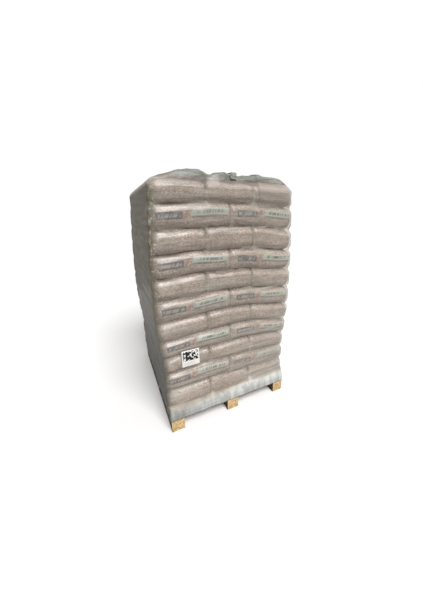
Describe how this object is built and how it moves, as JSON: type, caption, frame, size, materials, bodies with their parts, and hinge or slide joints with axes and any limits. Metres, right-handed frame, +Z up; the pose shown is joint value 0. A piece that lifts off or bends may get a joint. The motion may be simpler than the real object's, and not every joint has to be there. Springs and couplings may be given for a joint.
{
  "type": "pallet of sacks",
  "caption": "Wooden four-way pallet stacked with layers of filled sacks in a brick pattern, under a clear film hood that reaches down over the deck's edge.",
  "frame": {"origin": "on the floor under the middle of the pallet, on the underside of its middle bottom board", "axes": "+Z up; X along the pallet's 1.0 m front, +X to the right seen from the front; the front, with the label, faces -Y"},
  "size_m": [1.1084, 1.205, 1.8211],
  "materials": {
    "pallet_wood": "matte",
    "sack_film": "satin",
    "hood_film": "gloss",
    "label_paper": "matte"
  },
  "bodies": {
    "root": {"bottom_board_left": "pallet_wood", "bottom_board_middle": "pallet_wood", "bottom_board_right": "pallet_wood", "block_front_left": "pallet_wood", "block_front_middle": "pallet_wood", "block_front_right": "pallet_wood", "block_middle_left": "pallet_wood", "block_middle_middle": "pallet_wood", "block_middle_right": "pallet_wood", "block_rear_left": "pallet_wood", "block_rear_middle": "pallet_wood", "block_rear_right": "pallet_wood", "stringer_board_front": "pallet_wood", "stringer_board_middle": "pallet_wood", "stringer_board_rear": "pallet_wood", "deck_board_1": "pallet_wood", "deck_board_2": "pallet_wood", "deck_board_3": "pallet_wood", "deck_board_4": "pallet_wood", "deck_board_5": "pallet_wood", "deck_board_6": "pallet_wood", "deck_board_7": "pallet_wood", "sack_layer_01": "sack_film", "sack_layer_02": "sack_film", "sack_layer_03": "sack_film", "sack_layer_04": "sack_film", "sack_layer_05": "sack_film", "sack_layer_06": "sack_film", "sack_layer_07": "sack_film", "sack_layer_08": "sack_film", "sack_layer_09": "sack_film", "sack_layer_10": "sack_film", "sack_layer_11": "sack_film", "film_hood": "hood_film", "label": "label_paper"}
  },
  "joints": []
}
